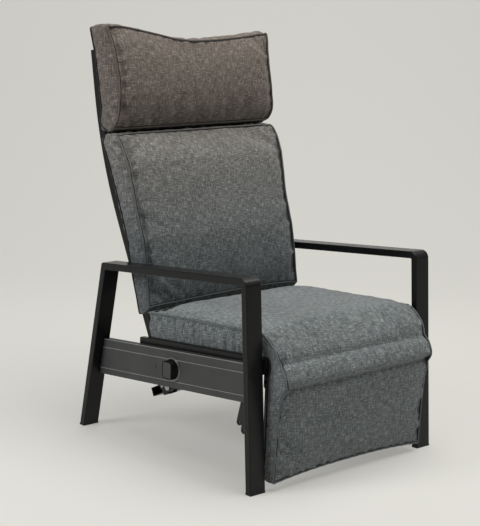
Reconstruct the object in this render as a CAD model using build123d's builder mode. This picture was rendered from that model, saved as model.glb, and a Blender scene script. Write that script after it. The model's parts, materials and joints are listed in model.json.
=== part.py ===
from build123d import *
import os
from math import cos, degrees, hypot, pi, radians, sin, tan

# Reclining garden armchair.
# X runs across the chair, the sitter faces -Y, and Z is up from the floor.
# Sizes are in millimetres, angles in degrees.
# Side outlines are drawn in chair places: the distance behind the top of the
# front legs, and the height above the floor. yz() moves them to the part's own
# frame, whose origin is on the floor under the middle of the chair.

# Fits and allowances
run_fit = 0.05          # radial clearance of a pin that turns or sits in its hole
seat_gap = 0.3          # gap between pieces that lie against each other
overrun = 5.0           # how far a cut runs past the surface that it opens

# Side frame: one bent rectangular tube for both legs and the armrest
overall_width = 690.0
arm_height = 562.0      # top of the armrest at its front corner
arm_length = 604.0
arm_slope = 6.0         # the armrest falls towards the back
front_foot_lead = 45.0  # the front foot stands this far ahead of the armrest
rear_foot_trail = 94.0
frame_width = 52.0
frame_thick = 20.0
frame_wall = 2.0
front_bend = 22.0
rear_bend = 8.0
inner_bend = 3.0
frame_corner = 2.5      # the tube's long edges are rounded by this
glide_thick = 5.0
glide_plug = 18.0

# Side panel: a grooved hollow board under each armrest
panel_inset = 32.0      # the panel's face lies this far inside the frame's face
panel_top = 334.0       # height of its upper edge at the front leg
panel_height = 104.0
panel_wall = 2.5
groove_down = 24.0      # upper groove, below the upper edge
groove_up = 17.0        # lower groove, above the lower edge
groove_width = 2.0
groove_depth = 1.0
tick_back = 70.0        # small mark behind the knob
tick_width = 3.0
tick_height = 14.0

# Seat frame and slats
seat_tilt = 5.5
seat_top = 348.0        # top of the seat rails at the front leg
rail_width = 12.0
rail_height = 30.0
rail_front = -27.0
rail_back = 488.0
rail_nose = 12.0
cross_front = 72.0
cross_rear = 412.0
cross_width = 25.0
cross_height = 20.0
tube_wall = 2.0
seat_slats_count = 6
seat_slat_first = 30.0
seat_slat_last = 425.0
seat_slat_width = 46.0
seat_slat_thick = 10.0
stretcher_ahead = 12.0  # the rear stretcher lies this far ahead of the armrest's end
stretcher_deep = 25.0
stretcher_tall = 40.0

# Recline pivot, lock knob and its fittings
pivot_back = 320.0
stud_radius = 6.0
bush_radius = 9.0
spacer_radius = 13.0
nut_flats = 19.0
nut_thick = 8.0
knob_radius = 28.5
knob_foot = 5.0
knob_height = 19.0
knob_grip_wide = 39.0
knob_grip_tall = 49.0
knob_grip_corner = 10.0
knob_bore_depth = 14.0
bezel_radius = 34.0
bezel_thick = 3.0
bezel_lip = 2.0

# Flat links and plates of the mechanism, side by side from the seat rail inwards
plate_thick = 5.0
link_thick = 5.0
head_thick = 2.0
link_gap = 0.5
link_half = 10.0
link_eye = 12.0
pin_radius = 4.0
pin_head = 9.5
open_eye_slack = 3.0    # slack of the link's front eye round the crank pin

# Back frame: two bent uprights that turn about the recline pivot
upright_width = 30.0
upright_deep = 25.0
upright_foot_back = 410.0       # rear face of the lower end
upright_foot_height = 150.0
back_tilt = 26.0
head_tilt = 10.0
upright_length = 1000.0
back_bend = 1300.0              # radius of the long bend behind the shoulders
upper_straight = 117.0          # straight run above the bend
top_rail_tall = 30.0
tail_tube_start = 2.0
tail_tube_tall = 25.0
tail_tube_deep = 48.0
back_slats_count = 9
back_slat_first = 262.0
top_slat_drop = 95.0            # from the top of the uprights to the topmost slat
back_slat_width = 48.0
back_slat_thick = 8.0
bracket_upper_run = 92.0        # bolts, measured along the upright from its foot
bracket_lower_run = 22.0
bracket_boss = 22.0
bracket_lobe = 14.0
drive_pin_back = 60.0           # drive pin, from the recline pivot
drive_pin_down = 70.5
bolt_radius = 3.0
bolt_head = 6.0
bolt_head_thick = 3.0

# Hangers: lobed plates inside the panels, behind the front legs
hanger_thick = 5.0
hanger_top = (30.0, 295.0)
hanger_boss = 12.0
hanger_rear_end = (66.0, 161.0)
hanger_front_top = (34.0, 255.0)
hanger_front_end = (48.0, 142.0)
hanger_lobe = 9.0
hanger_hole = 3.5
hanger_rivets = ((31.0, 292.0), (40.0, 252.0))

# Leg rest: a slatted frame that hangs from the front ends of the seat rails
hinge_back = -12.0
hinge_drop = 13.0       # below the top of the seat rails
hinge_pin_radius = 5.0
hinge_cap_radius = 9.0
hinge_cap_thick = 4.0
arm_deep = 20.0
arm_wide = 20.0
arm_end_height = 45.0
arm_boss = 12.0
crank_back = 12.1
crank_down = 22.0
crank_boss = 12.0
crank_lobe = 11.0
crank_foot = 10.0
crank_bolt_first = 42.0
crank_bolt_second = 62.0
leg_slats_count = 4
leg_slat_top = 250.0
leg_slat_bottom = 94.0
leg_slat_tall = 30.0
leg_slat_thick = 8.0

# Cushions
seat_side_gap = 10.0    # from the side frames to the sides of each cushion
back_side_gap = 11.0
leg_side_gap = 13.0
seat_cushion_thick = 68.0
seat_cushion_front = -28.0
seat_cushion_back = 452.0
seat_cushion_lean = 12.0        # the rear end leans back with the uprights
seat_crown = 18.0
border_bulge = 4.0
side_draw = 5.0         # how far the sides pull in between the corners
overhang = 16.0         # the back and head cushions widen above the armrests
back_cushion_start = 244.0
back_cushion_thick = 92.0
back_crown = 16.0
crease_drop = 244.0     # from the top of the uprights to the fold between the two cushions
crease_gap = 3.0
head_rise = 58.0        # the head cushion stands up past the top rail
head_cushion_thick = 106.0
head_crown = 10.0
head_sag = 48.0         # the top edge sags between its two ears
leg_cushion_top = 318.0
leg_cushion_bottom = 22.0
knee_thick = 72.0
leg_crown = 6.0

# Worked out from the sizes above
half_width = overall_width / 2
half_inner = half_width - frame_width
panel_outer = half_width - panel_inset
panel_thick = panel_outer - half_inner
rail_inner = half_inner - rail_width
head_outer = rail_inner - seat_gap
link_outer = head_outer - head_thick - seat_gap + run_fit
plate_outer = link_outer - link_thick - link_gap
upright_outer = plate_outer - plate_thick
upright_inner = upright_outer - upright_width
arm_inner = upright_outer - arm_wide
arm_rise = tan(radians(arm_slope))
seat_rise = tan(radians(seat_tilt))
arm_rear_height = arm_height - arm_length * arm_rise
pivot = (pivot_back, panel_top - panel_height / 2 - pivot_back * arm_rise)
drive_pin = (pivot[0] + drive_pin_back, pivot[1] - drive_pin_down)
hinge = (hinge_back, seat_top - hinge_back * seat_rise - hinge_drop)
crank_pin = (hinge[0] + crank_back, hinge[1] - crank_down)
arm_front = hinge_back - arm_deep / 2
stretcher_back = arm_length - stretcher_ahead
stretcher_height = panel_top - panel_height / 2 - stretcher_back * arm_rise
seat_cushion_half = half_inner - seat_side_gap
back_cushion_half = half_inner - back_side_gap
leg_cushion_half = half_inner - leg_side_gap
back_arc = radians(back_tilt - head_tilt) * back_bend
back_straight = upright_length - upper_straight - back_arc
back_slat_last = upright_length - top_slat_drop
crease_run = upright_length - crease_drop
head_cushion_end = upright_length + head_rise
SIDES = (("right", -1), ("left", 1))


def upright_angle(run):
    """Lean of the upright from the vertical, at a distance along it from its foot."""
    bent = min(max(run - back_straight, 0), back_arc)
    return back_tilt - degrees(bent / back_bend)


def upright_place(run, forward=0):
    """Chair place beside the upright: along its rear face, then forward from it."""
    straight = min(run, back_straight)
    beyond = max(run - back_straight - back_arc, 0)
    lean = radians(back_tilt)
    y = upright_foot_back + straight * sin(lean)
    z = upright_foot_height + straight * cos(lean)
    now = radians(upright_angle(run))
    y += back_bend * (cos(now) - cos(lean)) + beyond * sin(now) - forward * cos(now)
    z += back_bend * (sin(lean) - sin(now)) + beyond * cos(now) + forward * sin(now)
    return (y, z)


# Leg rest cushion: share of the height from its top, the thickness and the crown
leg_shares = (
    (0.0, 0.7, 0.1),
    (0.03, 0.88, 0.6),
    (0.08, 0.98, 1.0),
    (0.115, 0.98, 0.8),
    (0.145, 0.86, 0.1),
    (0.19, 0.8, 0.7),
    (0.31, 0.66, 1.0),
    (0.56, 0.57, 1.0),
    (0.9, 0.52, 0.8),
    (0.98, 0.46, 0.4),
    (1.0, 0.32, 0.1),
)
knee_reach = max(knee_thick * full + leg_crown * domed for along, full, domed in leg_shares)
front_reach = arm_front - seat_gap - knee_reach
rear_reach = upright_place(upright_length)[0]
middle = (front_reach + rear_reach) / 2


def yz(place):
    """Sketch point in the YZ plane for a chair place."""
    return (place[0] - middle, place[1])


def seat_height(y):
    """Height of the seat rails' top face."""
    return seat_top - y * seat_rise


def side_plane(side, x):
    """Upright plane across the chair at a distance x from its middle."""
    return Plane.YZ.offset(side * x)


def seat_plane(y, up=0):
    """Plane on top of the seat rails, X across the chair, its normal up."""
    tilt = radians(seat_tilt)
    origin = (0, *yz((y, seat_height(y))))
    return Plane(origin=origin, x_dir=(1, 0, 0), z_dir=(0, sin(tilt), cos(tilt))).offset(up)


def back_plane(run, forward=0):
    """Plane on the uprights, X across the chair, its normal towards the sitter."""
    lean = radians(upright_angle(run))
    origin = (0, *yz(upright_place(run, forward)))
    return Plane(origin=origin, x_dir=(1, 0, 0), z_dir=(0, -cos(lean), sin(lean)))


def meet(p, d, q, e):
    """Where the line from p along d crosses the line from q along e."""
    t = ((q[0] - p[0]) * e[1] - (q[1] - p[1]) * e[0]) / (d[0] * e[1] - d[1] * e[0])
    return (p[0] + t * d[0], p[1] + t * d[1])


def frame_lines(inset):
    """The side frame's three outer lines, moved in by inset: a point and a direction each."""
    corners = (
        (-front_foot_lead, 0),
        (0, arm_height),
        (arm_length, arm_rear_height),
        (arm_length + rear_foot_trail, 0),
    )
    lines = []
    for start, end in zip(corners, corners[1:]):
        length = hypot(end[0] - start[0], end[1] - start[1])
        along = ((end[0] - start[0]) / length, (end[1] - start[1]) / length)
        lines.append(((start[0] + inset * along[1], start[1] - inset * along[0]), along))
    return lines


def frame_path(inset, foot):
    """Front foot, front corner, rear corner and rear foot of the frame, moved in by inset."""
    front, top, rear = frame_lines(inset)
    level = ((0, foot), (1, 0))
    return [meet(*front, *level), meet(*front, *top), meet(*top, *rear), meet(*rear, *level)]


def frame_outline(outside, inside, foot):
    """Draw the bent tube's side outline between two insets, its feet cut level."""
    outer = [yz(p) for p in frame_path(outside, foot)]
    inner = [yz(p) for p in frame_path(inside, foot)]
    spare = frame_thick - inside
    with BuildLine() as outline:
        FilletPolyline(*outer, radius=[front_bend - outside, rear_bend - outside])
        FilletPolyline(*inner, radius=[inner_bend + spare, inner_bend + spare])
        Line(outer[0], inner[0])
        Line(outer[-1], inner[-1])
    make_face(outline.edges())


def disc(side, x_outer, length, radius, centre, mode=Mode.ADD):
    """Round piece along X, from x_outer towards the middle of the chair."""
    with BuildSketch(side_plane(side, x_outer)) as profile:
        with Locations(yz(centre)):
            Circle(radius)
    extrude(profile.sketch, amount=-side * length, mode=mode)


def bore(side, x_outer, length, radius, centre):
    """Running hole along X through a piece that starts at x_outer."""
    disc(side, x_outer + overrun, length + 2 * overrun, radius + run_fit, centre, Mode.SUBTRACT)


def hexagon(side, x_outer, length, flats, centre):
    """Six-sided nut or head along X."""
    with BuildSketch(side_plane(side, x_outer)) as profile:
        with Locations(yz(centre)):
            RegularPolygon(radius=flats / 2, side_count=6, major_radius=False)
    extrude(profile.sketch, amount=-side * length)


def lobed_plate(side, x_outer, thick, lobes):
    """Flat plate whose edge wraps round circles, each a centre and a radius."""
    with BuildSketch(side_plane(side, x_outer)) as profile:
        with BuildLine():
            for centre, radius in lobes:
                CenterArc(yz(centre), radius, 0, 360)
        make_hull()
    extrude(profile.sketch, amount=-side * thick)


def finish(piece, label):
    """Name a finished piece and write its file."""
    piece.part.label = label
    export_step(piece.part, f"parts/{label}.step")


os.makedirs("parts", exist_ok=True)

# Side frames, each a bent rectangular tube
for name, side in SIDES:
    with BuildPart() as side_frame:
        with BuildSketch(side_plane(side, half_width)):
            frame_outline(0, frame_thick, glide_thick)
        extrude(amount=-side * frame_width)
        rims = side_frame.faces().filter_by(Axis.X).edges()
        fillet([edge for edge in rims if edge.center().Z > 2 * glide_thick], frame_corner)
        with BuildSketch(side_plane(side, half_width - frame_wall)):
            frame_outline(frame_wall, frame_thick - frame_wall, glide_thick - overrun)
        extrude(amount=-side * (frame_width - 2 * frame_wall), mode=Mode.SUBTRACT)
    finish(side_frame, f"side_frame_{name}")

# Foot glides, a moulded sole with a plug that fills the tube's end
plug_inset = frame_wall + seat_gap
for name, side in SIDES:
    for end, first in (("front", 0), ("rear", 3)):
        sole = [frame_path(inset, level)[first] for inset, level in (
            (0, 0), (0, glide_thick), (frame_thick, glide_thick), (frame_thick, 0))]
        plug = [frame_path(inset, level)[first] for inset, level in (
            (plug_inset, 0), (plug_inset, glide_thick + glide_plug),
            (frame_thick - plug_inset, glide_thick + glide_plug), (frame_thick - plug_inset, 0))]
        with BuildPart() as glide:
            with BuildSketch(side_plane(side, half_width)):
                Polygon(*[yz(p) for p in sole], align=None)
            extrude(amount=-side * frame_width)
            with BuildSketch(side_plane(side, half_width - plug_inset)):
                Polygon(*[yz(p) for p in plug], align=None)
            extrude(amount=-side * (frame_width - 2 * plug_inset))
        finish(glide, f"foot_glide_{end}_{name}")


# Side panels, with a groove along each edge and the pivot hole
def panel_line(down):
    """Line along the panel, a height below its upper edge."""
    return ((0, panel_top - down), (1, -arm_rise))


def panel_strip(top_down, bottom_down, spare=0):
    """Corners of a strip of the panel between the legs, spare longer at each end."""
    front = frame_lines(frame_thick - spare)[0]
    rear = frame_lines(frame_thick - spare)[2]
    top, bottom = panel_line(top_down), panel_line(bottom_down)
    places = [meet(*front, *top), meet(*rear, *top), meet(*rear, *bottom), meet(*front, *bottom)]
    return [yz(place) for place in places]


for name, side in SIDES:
    with BuildPart() as side_panel:
        with BuildSketch(side_plane(side, panel_outer)):
            Polygon(*panel_strip(0, panel_height), align=None)
        extrude(amount=-side * panel_thick)
        with BuildSketch(side_plane(side, panel_outer - panel_wall)):
            Polygon(*panel_strip(panel_wall, panel_height - panel_wall, overrun), align=None)
        extrude(amount=-side * (panel_thick - 2 * panel_wall), mode=Mode.SUBTRACT)
        with BuildSketch(side_plane(side, panel_outer)):
            Polygon(*panel_strip(groove_down, groove_down + groove_width, overrun), align=None)
            low = panel_height - groove_up
            Polygon(*panel_strip(low - groove_width, low, overrun), align=None)
            with Locations(yz((pivot[0] + tick_back, pivot[1] - tick_back * arm_rise))):
                SlotOverall(tick_height, tick_width, rotation=90)
        extrude(amount=-side * groove_depth, mode=Mode.SUBTRACT)
        bore(side, panel_outer, panel_thick, bush_radius, pivot)
    finish(side_panel, f"side_panel_{name}")

# Hangers, riveted to the inner face of each panel
for name, side in SIDES:
    with BuildPart() as hanger:
        rear_lobes = [(hanger_top, hanger_boss), (hanger_rear_end, hanger_lobe)]
        front_lobes = [(hanger_front_top, hanger_boss), (hanger_front_end, hanger_lobe)]
        lobed_plate(side, half_inner, hanger_thick, rear_lobes)
        lobed_plate(side, half_inner, hanger_thick, front_lobes)
        for place in hanger_rivets:
            disc(side, half_inner - hanger_thick, head_thick, bolt_head, place)
        for place in (hanger_rear_end, hanger_front_end):
            bore(side, half_inner, hanger_thick, hanger_hole, place)
    finish(hanger, f"spring_hanger_{name}")

# Seat rails, flat bars inside the panels that carry the slats and the leg rest hinge
for name, side in SIDES:
    front_top, rear_top = [(y, seat_height(y)) for y in (rail_front, rail_back)]
    rear_low, front_low = [(y, z - rail_height) for y, z in (rear_top, front_top)]
    corners = [yz(place) for place in (front_top, rear_top, rear_low, front_low)]
    corner_radii = [rail_width / 3, rail_width / 3, rail_nose, rail_nose]
    with BuildPart() as seat_rail:
        with BuildSketch(side_plane(side, half_inner)):
            with BuildLine():
                FilletPolyline(*corners, radius=corner_radii, close=True)
            make_face()
        extrude(amount=-side * rail_width)
        bore(side, half_inner, rail_width, hinge_pin_radius, hinge)
    finish(seat_rail, f"seat_rail_{name}")

# Cross tubes under the slats
for name, y in (("front", cross_front), ("rear", cross_rear)):
    with BuildPart() as cross_tube:
        with BuildSketch(seat_plane(y, -seat_slat_thick)):
            Rectangle(2 * rail_inner, cross_width)
        extrude(amount=-cross_height)
        with BuildSketch(seat_plane(y, -seat_slat_thick - tube_wall)):
            Rectangle(2 * rail_inner + overrun, cross_width - 2 * tube_wall)
        extrude(amount=2 * tube_wall - cross_height, mode=Mode.SUBTRACT)
    finish(cross_tube, f"seat_cross_tube_{name}")

# Rear stretcher between the side panels
with BuildPart() as rear_stretcher:
    with BuildSketch(Plane.YZ.offset(-half_inner)):
        with Locations(yz((stretcher_back, stretcher_height))):
            RectangleRounded(stretcher_deep, stretcher_tall, inner_bend, rotation=-arm_slope)
    extrude(amount=2 * half_inner)
    with BuildSketch(Plane.YZ.offset(-half_inner - overrun)):
        with Locations(yz((stretcher_back, stretcher_height))):
            Rectangle(stretcher_deep - 2 * tube_wall, stretcher_tall - 2 * tube_wall, rotation=-arm_slope)
    extrude(amount=2 * half_inner + 2 * overrun, mode=Mode.SUBTRACT)
finish(rear_stretcher, "rear_stretcher")

# Seat slats
with BuildPart() as seat_slats:
    for i in range(seat_slats_count):
        y = seat_slat_first + (seat_slat_last - seat_slat_first) * i / (seat_slats_count - 1)
        with BuildSketch(seat_plane(y)):
            Rectangle(2 * rail_inner, seat_slat_width)
        extrude(amount=-seat_slat_thick)
    fillet(seat_slats.edges().filter_by(Axis.X).group_by(Axis.Z)[-1], seat_slat_thick / 5)
finish(seat_slats, "seat_slats")

# Pivot bushes, studs and nuts, one set for each side of the back frame
for name, side in SIDES:
    with BuildPart() as pivot_bush:
        disc(side, panel_outer, panel_thick, bush_radius, pivot)
        disc(side, half_inner, half_inner - plate_outer - seat_gap, spacer_radius, pivot)
        bore(side, panel_outer, panel_outer - plate_outer, stud_radius, pivot)
    finish(pivot_bush, f"pivot_bush_{name}")

    stud_outer = panel_outer + knob_bore_depth - seat_gap
    nut_face = upright_outer - seat_gap
    with BuildPart() as pivot_stud:
        disc(side, stud_outer, stud_outer - nut_face + nut_thick + plate_thick / 2, stud_radius, pivot)
        chamfer(pivot_stud.edges().filter_by(GeomType.CIRCLE), stud_radius / 6)
    finish(pivot_stud, f"pivot_stud_{name}")

    with BuildPart() as pivot_nut:
        hexagon(side, nut_face, nut_thick, nut_flats, pivot)
        bore(side, nut_face, nut_thick, stud_radius, pivot)
    finish(pivot_nut, f"pivot_nut_{name}")

# Knob bezels and lock knobs
for name, side in SIDES:
    with BuildPart() as bezel:
        disc(side, panel_outer + bezel_thick, bezel_thick, bezel_radius, pivot)
        disc(side, panel_outer + bezel_thick, bezel_thick, knob_radius + seat_gap, pivot, Mode.SUBTRACT)
        rim = bezel.faces().sort_by(Axis.X)[-1 if side > 0 else 0].edges().sort_by(SortBy.LENGTH)[-1]
        chamfer(rim, bezel_lip)
    finish(bezel, f"knob_bezel_{name}")

    foot_face = panel_outer + seat_gap
    with BuildPart() as lock_knob:
        disc(side, foot_face + knob_foot, knob_foot, knob_radius, pivot)
        with BuildSketch(side_plane(side, foot_face + knob_foot)):
            with Locations(yz(pivot)):
                Circle(knob_radius - knob_foot / 4)
        with BuildSketch(side_plane(side, foot_face + knob_height)):
            with Locations(yz(pivot)):
                RectangleRounded(knob_grip_wide, knob_grip_tall, knob_grip_corner)
        loft(ruled=True)
        face = lock_knob.faces().sort_by(Axis.X)[-1 if side > 0 else 0]
        chamfer(face.edges(), knob_foot / 3)
        bore_face = panel_outer + knob_bore_depth
        disc(side, bore_face, knob_bore_depth + overrun, stud_radius + run_fit, pivot, Mode.SUBTRACT)
    finish(lock_knob, f"lock_knob_{name}")

# Leg rest hinge pins, fixed in the rails, with a cap inside each arm
for name, side in SIDES:
    cap_face = arm_inner - seat_gap
    with BuildPart() as hinge_pin:
        disc(side, half_inner, half_inner - cap_face, hinge_pin_radius, hinge)
        disc(side, cap_face, hinge_cap_thick, hinge_cap_radius, hinge)
        disc(side, rail_inner - seat_gap, rail_inner - plate_outer - 2 * seat_gap, hinge_cap_radius, hinge)
    finish(hinge_pin, f"legrest_hinge_pin_{name}")

# Back uprights
def upright_outline(low, high, start, end):
    """Draw the upright's side outline between two depths, from start to end along it."""
    bend_end = back_straight + back_arc
    with BuildLine() as outline:
        for forward in (low, high):
            stops = [start, back_straight, back_straight + back_arc / 2, bend_end, end]
            points = [yz(upright_place(run, forward)) for run in stops]
            Line(points[0], points[1])
            ThreePointArc(*points[1:4])
            Line(points[3], points[4])
        for run in (start, end):
            Line(yz(upright_place(run, low)), yz(upright_place(run, high)))
    make_face(outline.edges())


def upright_box(start, end, low, high):
    """Corners of a square-cut stretch of the upright between two depths."""
    places = [(start, low), (end, low), (end, high), (start, high)]
    return [yz(upright_place(run, forward)) for run, forward in places]


bolt_places = [upright_place(run, upright_deep / 2) for run in (bracket_lower_run, bracket_upper_run)]
upright_top = upright_length - top_rail_tall
for name, side in SIDES:
    with BuildPart() as upright:
        with BuildSketch(side_plane(side, upright_outer)):
            upright_outline(0, upright_deep, 0, upright_top)
        extrude(amount=-side * upright_width)
        with BuildSketch(side_plane(side, upright_outer - tube_wall)):
            upright_outline(tube_wall, upright_deep - tube_wall, -overrun, upright_top - tube_wall)
        extrude(amount=2 * side * tube_wall - side * upright_width, mode=Mode.SUBTRACT)
        for place in bolt_places:
            bore(side, upright_outer, upright_width, bolt_radius, place)
    finish(upright, f"back_upright_{name}")

# Top rail and tail tube of the back frame
with BuildPart() as back_top_rail:
    for inset, mode in ((0, Mode.ADD), (tube_wall, Mode.SUBTRACT)):
        lower, upper = upright_top + inset, upright_length - inset
        with BuildSketch(Plane.YZ.offset(inset - upright_outer)):
            Polygon(*upright_box(lower, upper, inset, upright_deep - inset), align=None)
        extrude(amount=2 * (upright_outer - inset), mode=mode)
finish(back_top_rail, "back_top_rail")

with BuildPart() as back_tail_tube:
    for inset, spare, mode in ((0, 0, Mode.ADD), (tube_wall, overrun, Mode.SUBTRACT)):
        lower, upper = tail_tube_start + inset, tail_tube_start + tail_tube_tall - inset
        with BuildSketch(Plane.YZ.offset(-upright_outer - spare)):
            Polygon(*upright_box(lower, upper, -inset, inset - tail_tube_deep), align=None)
        extrude(amount=2 * (upright_outer + spare), mode=mode)
finish(back_tail_tube, "back_tail_tube")

# Plugs in the lower ends of the uprights
with BuildPart() as upright_plugs:
    for name, side in SIDES:
        for inset, start, end in ((0, -glide_thick, 0), (plug_inset, -glide_thick, glide_plug / 2)):
            with BuildSketch(side_plane(side, upright_outer - inset)):
                Polygon(*upright_box(start, end, inset, upright_deep - inset), align=None)
            extrude(amount=2 * side * inset - side * upright_width)
finish(upright_plugs, "upright_plugs")

# Back slats
with BuildPart() as back_slats:
    for i in range(back_slats_count):
        run = back_slat_first + (back_slat_last - back_slat_first) * i / (back_slats_count - 1)
        with BuildSketch(back_plane(run, upright_deep)):
            Rectangle(2 * upright_inner, back_slat_width)
        extrude(amount=-back_slat_thick)
finish(back_slats, "back_slats")

# Brackets that carry the uprights on the pivot and push the drive links
for name, side in SIDES:
    with BuildPart() as bracket:
        lobed_plate(side, plate_outer, plate_thick, [
            (pivot, bracket_boss), (drive_pin, bracket_lobe),
            (bolt_places[0], bracket_lobe), (bolt_places[1], bracket_lobe)])
        holes = [(pivot, stud_radius), (drive_pin, pin_radius)]
        holes += [(place, bolt_radius) for place in bolt_places]
        for place, radius in holes:
            bore(side, plate_outer, plate_thick, radius, place)
    finish(bracket, f"back_bracket_{name}")

    with BuildPart() as drive_rivet:
        disc(side, head_outer, head_thick, pin_head, drive_pin)
        disc(side, head_outer, head_outer - upright_outer, pin_radius, drive_pin)
    finish(drive_rivet, f"drive_pin_{name}")

with BuildPart() as bracket_bolts:
    for name, side in SIDES:
        for place in bolt_places:
            hexagon(side, plate_outer + bolt_head_thick, bolt_head_thick, 2 * bolt_head, place)
            disc(side, plate_outer, plate_outer - upright_inner, bolt_radius, place)
            hexagon(side, upright_inner, bolt_head_thick, 2 * bolt_head, place)
finish(bracket_bolts, "bracket_bolts")

# Drive links from the brackets to the cranks of the leg rest
for name, side in SIDES:
    with BuildPart() as drive_link:
        lobed_plate(side, link_outer, link_thick, [(drive_pin, link_half), (crank_pin, link_eye)])
        bore(side, link_outer, link_thick, pin_radius, drive_pin)
        bore(side, link_outer, link_thick, pin_radius + open_eye_slack, crank_pin)
    finish(drive_link, f"drive_link_{name}")

# Leg rest arms, crank plates and crank pins
crank_bolt_places = [(hinge[0], hinge[1] - down) for down in (crank_bolt_first, crank_bolt_second)]
for name, side in SIDES:
    with BuildPart() as leg_arm:
        with BuildSketch(side_plane(side, upright_outer)):
            with BuildLine():
                front, rear = hinge[0] - arm_deep / 2, hinge[0] + arm_deep / 2
                low, high = arm_end_height, hinge[1]
                corners = [(front, high), (front, low), (rear, low), (rear, high)]
                Polyline(*[yz(place) for place in corners], close=True)
            make_face()
            with Locations(yz(hinge)):
                Circle(arm_boss)
        extrude(amount=-side * arm_wide)
        with BuildSketch(side_plane(side, upright_outer - tube_wall)):
            tall = hinge[1] - arm_boss - arm_end_height - tube_wall
            with Locations(yz((hinge[0], arm_end_height + tube_wall + tall / 2))):
                Rectangle(arm_deep - 2 * tube_wall, tall)
        extrude(amount=2 * side * tube_wall - side * arm_wide, mode=Mode.SUBTRACT)
        holes = [(hinge, hinge_pin_radius)] + [(place, bolt_radius) for place in crank_bolt_places]
        for place, radius in holes:
            bore(side, upright_outer, arm_wide, radius, place)
    finish(leg_arm, f"legrest_arm_{name}")

    with BuildPart() as crank:
        ear = [(hinge, crank_boss), (crank_pin, crank_lobe)]
        foot = [(hinge, crank_foot), (crank_bolt_places[1], crank_foot)]
        lobed_plate(side, plate_outer, plate_thick, ear)
        lobed_plate(side, plate_outer, plate_thick, foot)
        holes = [(hinge, hinge_pin_radius), (crank_pin, pin_radius)]
        holes += [(place, bolt_radius) for place in crank_bolt_places]
        for place, radius in holes:
            bore(side, plate_outer, plate_thick, radius, place)
    finish(crank, f"crank_plate_{name}")

    with BuildPart() as crank_rivet:
        disc(side, head_outer, head_thick, pin_head, crank_pin)
        disc(side, head_outer, head_outer - upright_outer - seat_gap, pin_radius, crank_pin)
    finish(crank_rivet, f"crank_pin_{name}")

with BuildPart() as crank_bolts:
    for name, side in SIDES:
        for place in crank_bolt_places:
            hexagon(side, plate_outer + head_thick, head_thick, 2 * bolt_head, place)
            disc(side, plate_outer, plate_outer - arm_inner, bolt_radius, place)
            hexagon(side, arm_inner, head_thick, 2 * bolt_head, place)
finish(crank_bolts, "crank_bolts")

# Cross slats and end tube of the leg rest
with BuildPart() as leg_slats:
    for i in range(leg_slats_count):
        z = leg_slat_top + (leg_slat_bottom - leg_slat_top) * i / (leg_slats_count - 1)
        with BuildSketch(Plane.XZ.offset(middle - arm_front)):
            with Locations((0, z)):
                Rectangle(2 * arm_inner, leg_slat_tall)
        extrude(amount=-leg_slat_thick)
finish(leg_slats, "legrest_slats")

with BuildPart() as leg_end_tube:
    centre = (hinge[0], arm_end_height + arm_deep / 2)
    for inset, spare, mode in ((0, 0, Mode.ADD), (tube_wall, overrun, Mode.SUBTRACT)):
        with BuildSketch(Plane.YZ.offset(-arm_inner - spare)):
            with Locations(yz(centre)):
                Rectangle(arm_deep - 2 * inset, arm_deep - 2 * inset)
        extrude(amount=2 * (arm_inner + spare), mode=mode)
finish(leg_end_tube, "legrest_end_tube")


# Cushions: closed forms lofted through sections with a crown, a bulging border
# and sides that pull in between the corners
def cushion_section(place, lean, half, thick, crown):
    """One section across a cushion, its flat side at a chair place, leaning forward from upright."""
    turn = radians(lean)
    plane = Plane(origin=(0, *yz(place)), x_dir=(1, 0, 0), z_dir=(0, -cos(turn), -sin(turn)))
    with BuildSketch(plane) as section:
        with BuildLine():
            Line((-half, 0), (half, 0))
            ThreePointArc((half, 0), (half + border_bulge, thick / 2), (half, thick))
            ThreePointArc((half, thick), (0, thick + crown), (-half, thick))
            ThreePointArc((-half, thick), (-half - border_bulge, thick / 2), (-half, 0))
        make_face()
    return section.sketch


def drawn_half(half, along):
    """Half width of a section: the sides pull in towards the middle of the length."""
    return half - border_bulge - side_draw * sin(pi * along)


# Seat cushion: share of the length from the front, how far the underside lifts,
# the thickness and the crown, as shares of their full sizes
seat_shares = (
    (0.0, 0.06, 0.52, 0.1),
    (0.02, 0.0, 0.78, 0.3),
    (0.06, 0.0, 0.94, 0.5),
    (0.15, 0.0, 0.98, 0.7),
    (0.35, 0.0, 1.0, 1.0),
    (0.7, 0.0, 1.0, 1.0),
    (0.9, 0.0, 1.0, 0.7),
    (1.0, 0.0, 1.0, 0.1),
)
with BuildPart() as seat_cushion:
    sections = []
    for along, lift, full, domed in seat_shares:
        y = seat_cushion_front + (seat_cushion_back - seat_cushion_front) * along
        z = seat_height(y) + seat_gap + seat_cushion_thick * lift
        lean = -seat_cushion_lean * along
        half = drawn_half(seat_cushion_half, along)
        thick = seat_cushion_thick * full
        sections.append(cushion_section((y, z), lean, half, thick, seat_crown * domed))
    loft(sections, ruled=True)
finish(seat_cushion, "seat_cushion")

# Back cushion: share of the run from its lower end, the thickness, the crown and the overhang
back_shares = (
    (0.0, 0.3, 0.1, 0.0),
    (0.04, 0.46, 0.4, 0.0),
    (0.16, 0.68, 0.9, 0.0),
    (0.34, 0.9, 1.0, 0.0),
    (0.5, 0.94, 1.0, 0.4),
    (0.65, 0.96, 1.0, 0.8),
    (0.8, 1.0, 0.9, 1.0),
    (0.95, 0.88, 0.4, 1.0),
    (1.0, 0.68, 0.1, 0.9),
)
with BuildPart() as back_cushion:
    sections = []
    for along, full, domed, wide in back_shares:
        run = back_cushion_start + (crease_run - crease_gap - back_cushion_start) * along
        lean = 90 - upright_angle(run)
        half = drawn_half(back_cushion_half, along) + overhang * wide
        place = upright_place(run, upright_deep + seat_gap)
        thick = back_cushion_thick * full
        sections.append(cushion_section(place, lean, half, thick, back_crown * domed))
    loft(sections, ruled=True)
finish(back_cushion, "back_cushion")

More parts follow.
